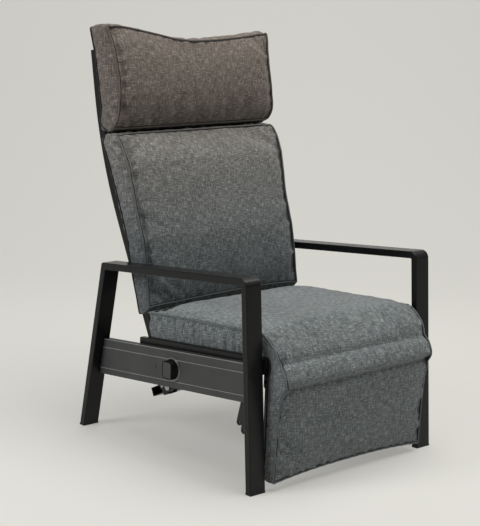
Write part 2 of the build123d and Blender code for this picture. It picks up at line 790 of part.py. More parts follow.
# Head cushion: share of the run from the crease, the thickness, the crown and the overhang
head_shares = (
    (0.0, 0.58, 0.1, 0.8),
    (0.05, 0.76, 0.4, 0.9),
    (0.2, 0.92, 0.9, 0.8),
    (0.42, 1.0, 1.0, 0.6),
    (0.7, 0.97, 1.0, 0.6),
    (0.9, 0.86, 0.7, 0.9),
    (0.97, 0.7, 0.3, 1.0),
    (1.0, 0.5, 0.1, 1.0),
)
with BuildPart() as head_cushion:
    sections = []
    for along, full, domed, wide in head_shares:
        run = crease_run + crease_gap + (head_cushion_end - crease_run - crease_gap) * along
        lean = 90 - upright_angle(run)
        half = drawn_half(back_cushion_half, along) + overhang * wide
        place = upright_place(run, upright_deep + seat_gap)
        thick = head_cushion_thick * full
        sections.append(cushion_section(place, lean, half, thick, head_crown * domed))
    loft(sections, ruled=True)
    with BuildSketch(back_plane(head_cushion_end, -overrun)):
        with BuildLine():
            ear = back_cushion_half + overhang + overrun
            ThreePointArc((-ear, overrun), (0, -head_sag), (ear, overrun))
            Line((ear, overrun), (-ear, overrun))
        make_face()
    full_depth = upright_deep + head_cushion_thick + head_crown
    extrude(amount=full_depth + 2 * overrun, mode=Mode.SUBTRACT)
finish(head_cushion, "head_cushion")

# Leg rest cushion, with the sewn channel below the knee
with BuildPart() as leg_cushion:
    sections = []
    for along, full, domed in leg_shares:
        z = leg_cushion_top - (leg_cushion_top - leg_cushion_bottom) * along
        half = drawn_half(leg_cushion_half, along)
        place = (arm_front - seat_gap, z)
        sections.append(cushion_section(place, 90, half, knee_thick * full, leg_crown * domed))
    loft(sections, ruled=True)
finish(leg_cushion, "legrest_cushion")
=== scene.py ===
import json
import math
import bpy
import bmesh
import numpy as np
from mathutils import Matrix, Vector, noise


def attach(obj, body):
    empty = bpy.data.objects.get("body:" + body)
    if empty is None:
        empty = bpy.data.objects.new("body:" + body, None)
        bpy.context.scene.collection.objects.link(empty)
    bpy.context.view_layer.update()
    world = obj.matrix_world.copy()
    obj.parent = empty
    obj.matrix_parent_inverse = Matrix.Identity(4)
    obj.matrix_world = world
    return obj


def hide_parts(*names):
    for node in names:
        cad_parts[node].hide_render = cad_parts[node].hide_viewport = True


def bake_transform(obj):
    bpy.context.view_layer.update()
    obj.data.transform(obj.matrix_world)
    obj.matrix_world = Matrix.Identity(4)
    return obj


# Reclining garden armchair: powder coated tube frame, four thick woven cushions.
# "Chair places" below are millimetres: x to the sitter's left, y back from the armrest's front
# corner, z above the floor. The CAD frame is in metres, with its origin under the chair's middle.
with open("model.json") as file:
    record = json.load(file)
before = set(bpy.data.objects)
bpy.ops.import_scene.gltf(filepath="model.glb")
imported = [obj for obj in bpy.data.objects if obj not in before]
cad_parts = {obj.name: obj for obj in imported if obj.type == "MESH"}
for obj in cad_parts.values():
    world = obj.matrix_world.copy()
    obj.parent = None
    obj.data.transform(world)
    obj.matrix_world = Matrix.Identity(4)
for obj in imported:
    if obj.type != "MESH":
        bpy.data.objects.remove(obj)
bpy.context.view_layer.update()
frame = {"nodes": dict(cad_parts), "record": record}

MIDDLE = 335.61                  # y of the frame's origin, in chair places
MM = 0.001                       # a millimetre in the frame's metres

# The bent uprights that the back and head cushions lie on
UPRIGHT_FOOT = (410.0, 150.0)    # rear face of the lower end: y, z
BACK_TILT = math.radians(26.0)
HEAD_TILT = math.radians(10.0)
BACK_STRAIGHT = 520.0
BACK_BEND = 1300.0               # radius of the long bend behind the shoulders
BACK_ARC = (BACK_TILT - HEAD_TILT) * BACK_BEND
UPRIGHT_FACE = 25.0              # the cushions lie this far ahead of the uprights' rear face

# The recline pivot, and the slopes and faces of the frame beside the cushions
PIVOT_PLACE = (0.0, 320.0, 248.37)
ARM_RISE = 0.1051                # the armrests and boards fall this much for each millimetre back
SEAT_RISE = math.tan(math.radians(5.5))
PANEL_TOP = 334.0                # upper edge of the boards at the front corner
PANEL_FACE = 0.313               # metres from the middle to the boards' outer faces
SIDES = (("right", -1), ("left", 1))


def to_frame(x, y, z):
    """Chair places in millimetres to metres in the CAD frame."""
    x, y, z = np.broadcast_arrays(x, y, z)
    return np.stack((x, y - MIDDLE, z), axis=-1) * MM


def upright_place(run, forward):
    """Chair place (y, z) beside the bent upright: along it, then forward from its rear face."""
    straight = np.minimum(run, BACK_STRAIGHT)
    bent = np.clip(run - BACK_STRAIGHT, 0.0, BACK_ARC)
    beyond = np.maximum(run - BACK_STRAIGHT - BACK_ARC, 0.0)
    lean = BACK_TILT - bent / BACK_BEND
    y = UPRIGHT_FOOT[0] + straight * math.sin(BACK_TILT)
    z = UPRIGHT_FOOT[1] + straight * math.cos(BACK_TILT)
    y = y + BACK_BEND * (np.cos(lean) - math.cos(BACK_TILT)) + beyond * np.sin(lean)
    z = z + BACK_BEND * (math.sin(BACK_TILT) - np.sin(lean)) + beyond * np.cos(lean)
    return y - forward * np.cos(lean), z + forward * np.sin(lean)


def along(table, at):
    """Read a table of (place, value) pairs, with straight runs between them."""
    places, values = zip(*table)
    return np.interp(at, places, values)


def eased(table, at, spread):
    """The same table, rounded off by averaging over a spread of places."""
    return sum(along(table, at + spread * k) for k in (-1.0, -0.5, 0.0, 0.5, 1.0)) / 5.0


# Materials
def srgb(code):
    """Linear colour from an sRGB hex code."""
    parts = [int(code[i:i + 2], 16) / 255.0 for i in (1, 3, 5)]
    return tuple(c / 12.92 if c <= 0.04045 else ((c + 0.055) / 1.055) ** 2.4 for c in parts) + (1.0,)


def add(tree, kind, settings=None, **sockets):
    """Add a node. A socket takes a value, or (node, output name) to link from."""
    made = tree.nodes.new(kind)
    for key, value in (settings or {}).items():
        setattr(made, key, value)
    for key, value in sockets.items():
        name = key.replace("_", " ")
        socket = made.inputs[int(key[2:])] if key.startswith("at") else made.inputs[name]
        if isinstance(value, tuple) and value and isinstance(value[0], bpy.types.Node):
            tree.links.new(value[0].outputs[value[1]], socket)
        else:
            socket.default_value = value
    return made


def material(name, **shader):
    """A material with one Principled shader, its plain values set on its own sockets."""
    made = bpy.data.materials.new(name)
    made.use_nodes = True
    tree = made.node_tree
    tree.nodes.clear()
    surface = add(tree, "ShaderNodeBsdfPrincipled", None, **shader)
    out = add(tree, "ShaderNodeOutputMaterial")
    tree.links.new(surface.outputs[0], out.inputs[0])
    return made, tree, surface


def ramp(tree, factor, *stops):
    """Colour ramp with the given (position, hex colour) stops."""
    made = add(tree, "ShaderNodeValToRGB", None, Fac=factor)
    while len(made.color_ramp.elements) < len(stops):
        made.color_ramp.elements.new(0.5)
    for element, (position, code) in zip(made.color_ramp.elements, stops):
        element.position = position
        element.color = srgb(code)
    return made


# Pattern sizes of the cloth: metres, or noise cells to the metre
YARN_PITCH = 0.0024
STREAK_ACROSS = 460.0            # a streak is 2.2 mm wide
STREAK_ALONG = 52.0              # and 19 mm long
MOTTLE = 14.0                    # patches 70 mm across
COOL_HEIGHT, WARM_HEIGHT = 0.45, 1.0


def woven(name, low, high, warm_low, warm_high):
    """Polyester melange cloth, plain woven from mottled yarn: a soft, dull heather of light and
    dark flecks. low and high are its cool tones, the other two its warm ones. The yarns are 0.9 mm
    apart on the real cloth and drawn 2.4 mm apart, the finest that still shows. Where a yarn turns
    light it shows as a short streak along it, crosswise or lengthwise."""
    made, tree, surface = material(name, Roughness=0.92, Sheen_Weight=0.1, Sheen_Roughness=0.45,
                                   Specular_IOR_Level=0.22)
    place = add(tree, "ShaderNodeUVMap", {"uv_map": "cloth"})
    solid = add(tree, "ShaderNodeTexCoord")
    # light streaks of yarn, one set each way
    streaks = []
    for stretch in ((STREAK_ACROSS, STREAK_ALONG, 1.0), (STREAK_ALONG, STREAK_ACROSS, 1.0)):
        turned = add(tree, "ShaderNodeMapping", None, Vector=(place, "UV"), Scale=stretch)
        grain = add(tree, "ShaderNodeTexNoise", None, Vector=(turned, "Vector"), Scale=1.0,
                    Detail=1.0, Roughness=0.5)
        streaks.append(add(tree, "ShaderNodeMapRange", {"interpolation_type": "SMOOTHSTEP"},
                           Value=(grain, "Fac"), From_Min=0.42, From_Max=0.78))
    mixed = add(tree, "ShaderNodeMath", {"operation": "ADD"}, at0=(streaks[0], "Result"),
                at1=(streaks[1], "Result"))
    # the cloth's own unevenness, patches of a hand's breadth
    mottle = add(tree, "ShaderNodeTexNoise", None, Vector=(solid, "Object"), Scale=MOTTLE, Detail=3.0,
                 Roughness=0.5)
    both = add(tree, "ShaderNodeMath", {"operation": "MULTIPLY_ADD"}, at0=(mottle, "Fac"), at1=0.4,
               at2=(mixed, "Value"))
    spread = add(tree, "ShaderNodeMapRange", None, Value=(both, "Value"), From_Min=0.0, From_Max=1.8)
    cool = ramp(tree, (spread, "Result"), (0.0, low), (1.0, high))
    warm = ramp(tree, (spread, "Result"), (0.0, warm_low), (1.0, warm_high))
    # the cloth looks cool at the seat and warm at the head
    height = add(tree, "ShaderNodeSeparateXYZ", None, Vector=(solid, "Object"))
    share = add(tree, "ShaderNodeMapRange", {"interpolation_type": "SMOOTHSTEP"}, Value=(height, "Z"),
                From_Min=COOL_HEIGHT, From_Max=WARM_HEIGHT)
    cloth = add(tree, "ShaderNodeMix", {"data_type": "RGBA"}, at0=(share, "Result"),
                at6=(cool, "Color"), at7=(warm, "Color"))
    tree.links.new(cloth.outputs[2], surface.inputs["Base Color"])
    # over and under of the plain weave
    threads = []
    turns = 2 * math.pi / YARN_PITCH
    for way in ((turns, 0.0, 0.0), (0.0, turns, 0.0)):
        phase = add(tree, "ShaderNodeVectorMath", {"operation": "DOT_PRODUCT"}, at0=(place, "UV"), at1=way)
        threads.append(add(tree, "ShaderNodeMath", {"operation": "SINE"}, at0=(phase, "Value")))
    weave = add(tree, "ShaderNodeMath", {"operation": "MULTIPLY"}, at0=(threads[0], "Value"),
                at1=(threads[1], "Value"))
    relief = add(tree, "ShaderNodeMath", {"operation": "MULTIPLY_ADD"}, at0=(weave, "Value"), at1=0.35,
                 at2=(mixed, "Value"))
    bump = add(tree, "ShaderNodeBump", None, Strength=0.4, Distance=0.0008, Height=(relief, "Value"))
    tree.links.new(bump.outputs["Normal"], surface.inputs["Normal"])
    return made


CLOUDS = 9.0                     # the coat's gloss changes over 110 mm


def coated(name, dark, light, roughness, grain, relief, shine=0.3):
    """A baked or moulded dark skin: fine orange peel of the given grain, in cells to the metre,
    slightly uneven gloss, and a little paler where it is thick."""
    made, tree, surface = material(name, Roughness=roughness, Specular_IOR_Level=shine)
    place = add(tree, "ShaderNodeTexCoord")
    peel = add(tree, "ShaderNodeTexNoise", None, Vector=(place, "Object"), Scale=grain, Detail=3.0,
               Roughness=0.6)
    cloud = add(tree, "ShaderNodeTexNoise", None, Vector=(place, "Object"), Scale=CLOUDS, Detail=3.0,
                Roughness=0.55)
    tone = add(tree, "ShaderNodeMath", {"operation": "MULTIPLY_ADD"}, at0=(peel, "Fac"), at1=0.35,
               at2=(cloud, "Fac"))
    spread = add(tree, "ShaderNodeMapRange", None, Value=(tone, "Value"), From_Min=0.45, From_Max=0.9)
    paint = ramp(tree, (spread, "Result"), (0.0, dark), (1.0, light))
    tree.links.new(paint.outputs["Color"], surface.inputs["Base Color"])
    gloss = add(tree, "ShaderNodeMapRange", None, Value=(cloud, "Fac"), From_Min=0.3, From_Max=0.7,
                To_Min=roughness - 0.06, To_Max=roughness + 0.06)
    tree.links.new(gloss.outputs["Result"], surface.inputs["Roughness"])
    bump = add(tree, "ShaderNodeBump", None, Strength=relief, Distance=0.0004, Height=(peel, "Fac"))
    tree.links.new(bump.outputs["Normal"], surface.inputs["Normal"])
    return made


def brushed(name, dark, light, roughness, marks_per_metre):
    """Bare metal with the fine marks of turning or plating, which soften its highlights."""
    made, tree, surface = material(name, Metallic=1.0, Roughness=roughness)
    place = add(tree, "ShaderNodeTexCoord")
    turned = add(tree, "ShaderNodeMapping", None, Vector=(place, "Object"), Scale=(marks_per_metre,) * 3)
    marks = add(tree, "ShaderNodeTexNoise", None, Vector=(turned, "Vector"), Scale=1.0, Detail=4.0,
                Roughness=0.7)
    tone = ramp(tree, (marks, "Fac"), (0.3, dark), (0.7, light))
    tree.links.new(tone.outputs["Color"], surface.inputs["Base Color"])
    bump = add(tree, "ShaderNodeBump", None, Strength=0.2, Distance=0.0002, Height=(marks, "Fac"))
    tree.links.new(bump.outputs["Normal"], surface.inputs["Normal"])
    return made


def spun(name, dark, light, twist):
    """Twisted polyester cord or sewing thread: pale and dark turns of its plies, and a dull sheen."""
    made, tree, surface = material(name, Roughness=0.78, Sheen_Weight=0.15, Specular_IOR_Level=0.3)
    place = add(tree, "ShaderNodeTexCoord")
    turned = add(tree, "ShaderNodeMapping", None, Vector=(place, "Object"), Rotation=(0.6, 0.6, 0.6))
    ply = add(tree, "ShaderNodeTexWave", {"bands_direction": "X"}, Vector=(turned, "Vector"), Scale=twist,
              Distortion=1.5, Detail=2.0)
    fuzz = add(tree, "ShaderNodeTexNoise", None, Vector=(place, "Object"), Scale=1500.0, Detail=2.0)
    mixed = add(tree, "ShaderNodeMath", {"operation": "MULTIPLY_ADD"}, at0=(ply, "Fac"), at1=0.6,
                at2=(fuzz, "Fac"))
    spread = add(tree, "ShaderNodeMapRange", None, Value=(mixed, "Value"), From_Min=0.3, From_Max=1.2)
    tone = ramp(tree, (spread, "Result"), (0.0, dark), (1.0, light))
    tree.links.new(tone.outputs["Color"], surface.inputs["Base Color"])
    bump = add(tree, "ShaderNodeBump", None, Strength=0.5, Distance=0.0004, Height=(mixed, "Value"))
    tree.links.new(bump.outputs["Normal"], surface.inputs["Normal"])
    return made


# Aluminium tube, powder coated in anthracite: near black, with soft highlights along its edges
tube_coat = coated("powder_coated_tube", "#0b0c0d", "#121314", 0.3, 900.0, 0.25, 0.24)
# The same coat on the extruded boards, a flatter and paler grey than the tube
board_coat = coated("powder_coated_board", "#363837", "#414342", 0.52, 700.0, 0.25)
# Pale coat on the rolled beads of the boards: a painted highlight of the light that their edges catch
bead_highlight_coat = coated("powder_coat_painted_highlight_bead", "#747674", "#888a88", 0.4, 700.0, 0.1)
# Polypropylene, moulded and black: the dull glides and plugs, and the bushes
glide_plastic = coated("moulded_polypropylene", "#101112", "#1a1b1c", 0.6, 500.0, 0.35)
# Glass filled nylon, moulded with a fine texture: the lock knobs, blacker than the frame. Their near
# black is partly the nylon's own and partly painted shade on the knobs' sides and round their grips
knob_plastic = coated("moulded_nylon_painted_shade", "#060707", "#0d0e0e", 0.5, 650.0, 0.4, 0.12)
# The face of each knob's grip, in the tone of the boards, against the painted shade of the knob's sides
cap_coat = coated("painted_knob_cap", "#343635", "#3f4140", 0.45, 650.0, 0.2)
# Aluminium ring round the knob, turned and satin anodised: a thin pale line
ring_metal = brushed("anodised_ring", "#6a6c6a", "#8a8c8a", 0.38, 400.0)
# Pressed steel of the mechanism under a black coat
plate_coat = coated("black_coated_steel", "#141516", "#202122", 0.42, 800.0, 0.2)
# Zinc plated steel of the fasteners, pale and slightly blotched
zinc = brushed("zinc_plated_steel", "#8d8f90", "#b6b8b8", 0.34, 600.0)
# The cushions' cloth: blue grey at the seat, darker grey at the back, taupe grey at the head
seat_cloth = woven("seat_melange_cloth", "#3f4446", "#93999a", "#464442", "#98948e")
back_cloth = woven("back_melange_cloth", "#32383a", "#7c8183", "#4b4845", "#a19d98")
head_cloth = woven("head_melange_cloth", "#33383a", "#7a7f80", "#433c37", "#887f78")
# Twisted black cord inside the piped seams: it draws each cushion's edge. Beside each front welt it
# is partly piping and partly a painted shadow of the dip in the front panel
piping_and_shadow_cord = spun("black_piping_and_shadow_cord", "#0a0a0b", "#1a1a1b", 150.0)
# Grey sewing thread of the topstitching
sewing_thread = spun("grey_sewing_thread", "#3a3d3e", "#5c6061", 400.0)

FINISHES = {
    "frame_coat": tube_coat, "panel_coat": board_coat, "slat_coat": tube_coat,
    "black_plastic": glide_plastic, "knob_plastic": knob_plastic, "bezel": ring_metal,
    "mechanism_steel": plate_coat, "bolt_steel": zinc, "bush_plastic": glide_plastic,
    "seat_fabric": seat_cloth, "back_fabric": back_cloth, "head_fabric": head_cloth,
}
for part in frame["record"]["subparts"]:
    node = frame["nodes"][part["node"]]
    node.data.materials.clear()
    node.data.materials.append(FINISHES[part["material_slot"]])


# Cushions
def unit(vector):
    """The vector at length one."""
    return vector / (np.linalg.norm(vector) + 1e-12)


def outward(grid, j, i):
    """Direction out of a panel's edge, in the panel, at one of its rim points."""
    rows, columns = grid.shape[0] - 1, grid.shape[1] - 1
    way = np.zeros(3)
    if i == 0:
        way += unit(grid[j, 0] - grid[j, 1])
    if i == columns:
        way += unit(grid[j, columns] - grid[j, columns - 1])
    if j == 0:
        way += unit(grid[0, i] - grid[1, i])
    if j == rows:
        way += unit(grid[rows, i] - grid[rows - 1, i])
    return unit(way)


def dome(u, v, wide, tall, rim):
    """0 on a panel's edge, rising to 1 over a rim (in the same unit as wide and tall)."""
    across = np.clip((1 - np.abs(u)) * wide / 2 / rim, 0, 1)
    length = np.clip(np.minimum(v, 1 - v) * tall / rim, 0, 1)
    return np.sin(across * math.pi / 2) ** 0.8 * np.sin(length * math.pi / 2) ** 0.8


# Settings of the cloth that is filled: frames, quality steps, kilograms and stiffnesses
FILL_FRAMES = 16
FILL_CLOTH = {
    "quality": 5, "mass": 0.25, "tension_stiffness": 18.0, "compression_stiffness": 18.0,
    "shear_stiffness": 6.0, "bending_stiffness": 0.35, "use_pressure": True,
}


class Cover:
    """A cushion's box cover: a front panel, a rear panel and a border sewn between them.
    front(u, v) and rear(u, v) give frame places; u runs from -1 to 1 across, v from 0 to 1 along.
    The mesh is made of points, then rings: each ring is a loop of point numbers round the cover."""

    def __init__(self, name, columns, rows, rings, front, rear, bulge, size, cloth):
        self.name, self.columns, self.rows = name, columns, rows
        even = np.linspace(-1, 1, columns + 1)
        closer = 0.55 * even + 0.45 * np.sin(even * math.pi / 2)    # closer together by the side seams
        u, v = np.meshgrid(closer, np.linspace(0, 1, rows + 1))
        self.u, self.v = u.ravel(), v.ravel()
        self.panel = len(self.u)
        ahead, behind = front(u, v), rear(u, v)
        points = self.sew(ahead, behind, rings, bulge * MM)
        faces, cloth_places = self.panel_faces(u * size[0] / 2, v * size[1])
        more_faces, more_places = self.border_faces(points, rings)
        mesh = bpy.data.meshes.new(name)
        mesh.from_pydata(points.tolist(), [], faces + more_faces)
        layer = mesh.uv_layers.new(name="cloth")
        layer.data.foreach_set("uv", np.array(cloth_places + more_places, np.float32).ravel())
        mesh.materials.append(cloth)
        mesh.polygons.foreach_set("use_smooth", [True] * len(mesh.polygons))
        tool = bmesh.new()
        tool.from_mesh(mesh)
        bmesh.ops.recalc_face_normals(tool, faces=tool.faces)
        tool.to_mesh(mesh)
        tool.free()
        self.piece = bpy.data.objects.new(name, mesh)
        bpy.context.collection.objects.link(self.piece)

    def sew(self, ahead, behind, rings, bulge):
        """Points of both panels and of the border between them, and the rings of their numbers."""
        columns, rows = self.columns, self.rows
        rim = [(0, i) for i in range(columns)] + [(j, columns) for j in range(rows)]
        rim += [(rows, i) for i in range(columns, 0, -1)] + [(j, 0) for j in range(rows, 0, -1)]
        front_rim = np.array([ahead[j, i] for j, i in rim])
        rear_rim = np.array([behind[j, i] for j, i in rim])
        out = np.array([outward(ahead, j, i) for j, i in rim])
        self.inward = -out
        points = [ahead.reshape(-1, 3), behind.reshape(-1, 3)]
        first = [j * (columns + 1) + i for j, i in rim]
        self.rings = [first]
        for k in range(1, rings):
            share = k / rings
            points.append(front_rim * (1 - share) + rear_rim * share + out * bulge * 4 * share * (1 - share))
            self.rings.append([2 * self.panel + (k - 1) * len(rim) + n for n in range(len(rim))])
        self.rings.append([self.panel + n for n in first])
        return np.concatenate(points)

    def panel_faces(self, across, along):
        """Faces of the two panels, and the place of each face corner on the cloth."""
        faces, cloth_places = [], []
        for base, turned in ((0, False), (self.panel, True)):
            for j in range(self.rows):
                for i in range(self.columns):
                    quad = [(j, i), (j, i + 1), (j + 1, i + 1), (j + 1, i)]
                    quad = quad[::-1] if turned else quad
                    faces.append([base + b * (self.columns + 1) + a for b, a in quad])
                    cloth_places += [(across[b, a], along[b, a]) for b, a in quad]
        return faces, cloth_places

    def border_faces(self, points, rings):
        """Faces of the border, with its cloth laid round the cover."""
        faces, cloth_places = [], []
        front_rim, rear_rim = points[self.rings[0]], points[self.rings[-1]]
        steps = np.linalg.norm(np.roll(front_rim, -1, axis=0) - front_rim, axis=1)
        distance = np.concatenate(([0.0], np.cumsum(steps)))
        depth = np.linalg.norm(front_rim - rear_rim, axis=1).mean()
        for k, (near_ring, far_ring) in enumerate(zip(self.rings, self.rings[1:])):
            near, far = k / rings * depth, (k + 1) / rings * depth
            for n in range(len(steps)):
                m = (n + 1) % len(steps)
                faces.append([near_ring[n], far_ring[n], far_ring[m], near_ring[m]])
                cloth_places += [(distance[n], near), (distance[n], far), (distance[n + 1], far),
                                 (distance[n + 1], near)]
        return faces, cloth_places

    def places(self):
        """Places of the cover's points, a row of x, y and z for each."""
        co = np.empty(len(self.piece.data.vertices) * 3, np.float32)
        self.piece.data.vertices.foreach_get("co", co)
        return co.reshape(-1, 3).astype(float)

    def normals(self):
        """Directions straight out of the cover, a row for each point."""
        no = np.empty(len(self.piece.data.vertices) * 3, np.float32)
        self.piece.data.vertex_normals.foreach_get("vector", no)
        return no.reshape(-1, 3).astype(float)

    def move(self, co):
        """Put the cover's points at new places."""
        self.piece.data.vertices.foreach_set("co", co.astype(np.float32).ravel())
        self.piece.data.update()

    def fill(self, pressure, limit, ease, resting):
        """Blow the cover up as cloth. Its seams and the part that rests on the slats are held, and
        the cloth is cut larger than its seams by the ease, so it gathers along them. No point
        moves further than the limit."""
        held = self.piece.vertex_groups.new(name="held")
        held.add(self.rings[0] + self.rings[-1], 1.0, "REPLACE")
        held.add([int(i) for i in np.nonzero(resting)[0] + self.panel], 1.0, "REPLACE")
        filling = self.piece.modifiers.new("filling", "CLOTH")
        filling.point_cache.frame_start, filling.point_cache.frame_end = 1, FILL_FRAMES
        for key, value in FILL_CLOTH.items():
            setattr(filling.settings, key, value)
        filling.settings.uniform_pressure_force = pressure
        filling.settings.effector_weights.gravity = 0.0
        filling.settings.shrink_min = -ease
        filling.settings.vertex_group_mass = "held"
        start = self.places()
        scene = bpy.context.scene
        for step in range(1, FILL_FRAMES + 1):
            scene.frame_set(step)
        filled = self.piece.evaluated_get(bpy.context.evaluated_depsgraph_get()).data
        end = np.empty(len(filled.vertices) * 3, np.float32)
        filled.vertices.foreach_get("co", end)
        self.piece.modifiers.remove(filling)
        scene.frame_set(1)
        moved = end.reshape(-1, 3).astype(float) - start
        length = np.linalg.norm(moved, axis=1, keepdims=True) + 1e-9
        self.move(start + moved / length * limit * np.tanh(length / limit))

    def sink(self, deep, off, width, half):
        """Draw the front panel down beside its two side seams, so that the welts stand proud. The
        dip lies off metres in from a seam; half is half the panel's width."""
        co, no = self.places(), self.normals()
        inward = (1 - np.abs(self.u)) * half
        ends = np.sin(math.pi * np.clip(self.v, 0.02, 0.98)) ** 0.3
        waver = np.array([0.9 + 0.3 * noise.noise(Vector((along * 7.0, across, 0.0)))
                          for across, along in zip(self.u, self.v)])
        dip = deep * np.exp(-((inward - off) / width) ** 2) * ends * waver
        co[:self.panel] -= no[:self.panel] * dip[:, None]
        self.move(co)

    def crease_seams(self, sharp):
        """Crease the two seams, so that the panels keep their sewn edge."""
        seams = set()
        for ring in (self.rings[0], self.rings[-1]):
            seams |= {tuple(sorted(pair)) for pair in zip(ring, ring[1:] + ring[:1])}
        crease = self.piece.data.attributes.new("crease_edge", "FLOAT", "EDGE")
        crease.data.foreach_set("value", [
            sharp if tuple(sorted(e.vertices)) in seams else 0.0 for e in self.piece.data.edges])

    def smooth(self):
        """One subdivision, applied. The cover's own corners stay the first vertices."""
        divide = self.piece.modifiers.new("divide", "SUBSURF")
        divide.levels = divide.render_levels = 1
        divide.uv_smooth = "NONE"
        done = bpy.data.meshes.new_from_object(
            self.piece.evaluated_get(bpy.context.evaluated_depsgraph_get()))
        self.piece.modifiers.remove(divide)
        self.piece.vertex_groups.clear()
        coarse = self.piece.data
        self.piece.data = done
        done.name = self.name
        bpy.data.meshes.remove(coarse)


BATCH = 2000                     # points measured against a seam at a time


def pucker(cover, depth, reach, pitch, seed):
    """Small gathers along both seams: the cloth swells and dips with the pull of the thread. They
    are a pitch apart and fade out over a reach, all in metres."""
    co, no = cover.places(), cover.normals()
    moved = np.zeros(len(co))
    for number, ring in enumerate((cover.rings[0], cover.rings[-1])):
        seam = co[ring]
        steps = np.linalg.norm(np.roll(seam, -1, axis=0) - seam, axis=1)
        distance = np.concatenate(([0.0], np.cumsum(steps)[:-1]))
        wave = np.empty(len(seam))
        for n, s in enumerate(distance):
            shift = 2.2 * noise.noise(Vector((s * 14.0, seed, number * 7.0)))
            strength = 0.35 + 0.65 * max(0.0, noise.noise(Vector((s * 5.0, seed + 3.0, number))) + 0.35)
            wave[n] = strength * math.sin(2 * math.pi * s / pitch + shift)
        for first in range(0, len(co), BATCH):
            part = co[first:first + BATCH]
            gaps = np.linalg.norm(part[:, None, :] - seam[None, :, :], axis=2)
            nearest = gaps.argmin(axis=1)
            near = gaps[np.arange(len(part)), nearest]
            fade = (near / reach) * np.exp(1 - near / reach)
            fade = np.where(near > 4 * reach, 0, fade)
            moved[first:first + BATCH] += wave[nearest] * fade * depth
    cover.move(co + no * moved[:, None])


# Outlines of the back and head cushions: runs along the upright, and depths ahead of its rear face
BACK_FRONT = [(236, 57), (271, 67), (324, 84), (375, 98), (419, 108), (520, 114), (575, 120), (648, 124),
              (700, 116), (735, 108), (745, 92)]
BACK_REAR = [(230, 8), (280, 16), (346, 24), (394, 33), (432, 42), (516, 47), (593, 47), (672, 44),
             (722, 36), (740, 40), (752, 60)]
HEAD_FRONT = [(756, 84), (774, 108), (788, 116), (812, 122), (860, 133), (906, 134), (959, 131),
              (1006, 124), (1060, 108)]
HEAD_REAR = [(756, 74), (770, 52), (792, 34), (833, 46), (887, 41), (968, 40), (1060, 33)]
# Runs of the back cushion's front foot and of the head cushion's top, from right (-1) to left (1):
# the head cushion sags between its two ears
BACK_FOOT = [(-1.0, 234), (-0.9, 240), (-0.6, 242), (-0.2, 246), (0.2, 248), (0.5, 249), (0.9, 245),
             (1.0, 237)]
HEAD_TOP = [(-1.0, 1058), (-0.8, 1052), (-0.6, 1040), (-0.37, 1025), (-0.2, 1013), (0.0, 1008),
            (0.3, 1010), (0.65, 1017), (0.85, 1024), (1.0, 1030)]
# Half widths to the right and left edge, by run: between the armrests the cushions are held in, above
# them they spread, and the chair in the photo has them pushed a little to the sitter's left
EDGE_RIGHT = [(236, 283), (430, 283), (560, 281), (700, 284), (745, 289), (760, 290), (800, 283),
              (900, 279), (1000, 282), (1060, 286)]
EDGE_LEFT = [(236, 286), (430, 286), (500, 290), (610, 302), (700, 308), (745, 302), (765, 300),
             (800, 305), (850, 297), (917, 293), (970, 296), (1010, 305), (1060, 310)]
CUSHION_WIDE = 570.0
BACK_RIM = 90.0                  # a front panel swells over this rim
REST_RIM = 12.0                  # a rear panel drops onto the slats within this rim
RESTING = UPRIGHT_FACE + 1.0     # depth of a rear panel that rests on the slats


def cushion_panel(u, v, low, high, seam, rim, crown=0.0, rest=None):
    """A back or head cushion's panel. low and high give the runs of its ends, seam the depth of its
    edge. It swells by the crown, or rests at a depth."""
    run = low(u) * (1 - v) + high(u) * v
    depth = eased(seam, run, 6.0)
    tall = float(np.mean(high(u) - low(u)))
    rise = dome(u, v, CUSHION_WIDE, tall, rim)
    depth = depth + crown * rise if rest is None else depth * (1 - rise) + rest * rise
    y, z = upright_place(run, depth)
    right, left = eased(EDGE_RIGHT, run, 10.0), eased(EDGE_LEFT, run, 10.0)
    return to_frame((u + 1) / 2 * (left + right) - right, y, z)


def head_top(u):
    return eased(HEAD_TOP, u, 0.05)


def back_front(u, v):
    return cushion_panel(u, v, lambda a: eased(BACK_FOOT, a, 0.05), lambda a: 743 + 0 * a, BACK_FRONT,
                         BACK_RIM, crown=8.0)


def back_rear(u, v):
    return cushion_panel(u, v, lambda a: 232 + 3 * (1 - a ** 2), lambda a: 752 + 0 * a, BACK_REAR,
                         REST_RIM, rest=RESTING)


def head_front(u, v):
    return cushion_panel(u, v, lambda a: 762 + 0 * a, head_top, HEAD_FRONT, BACK_RIM, crown=6.0)


def head_rear(u, v):
    return cushion_panel(u, v, lambda a: 757 + 0 * a, lambda a: head_top(a) + 3, HEAD_REAR, REST_RIM,
                         rest=RESTING)


# Each cover: its columns, rows and rings of faces, its panels, the bulge of its border in
# millimetres, the width and length of its panels as cut, in metres, and its cloth
back = Cover("back_cushion_cover", 72, 64, 9, back_front, back_rear, 5.0, (0.566, 0.51), back_cloth)
head = Cover("head_cushion_cover", 72, 38, 9, head_front, head_rear, 5.0, (0.566, 0.27), head_cloth)

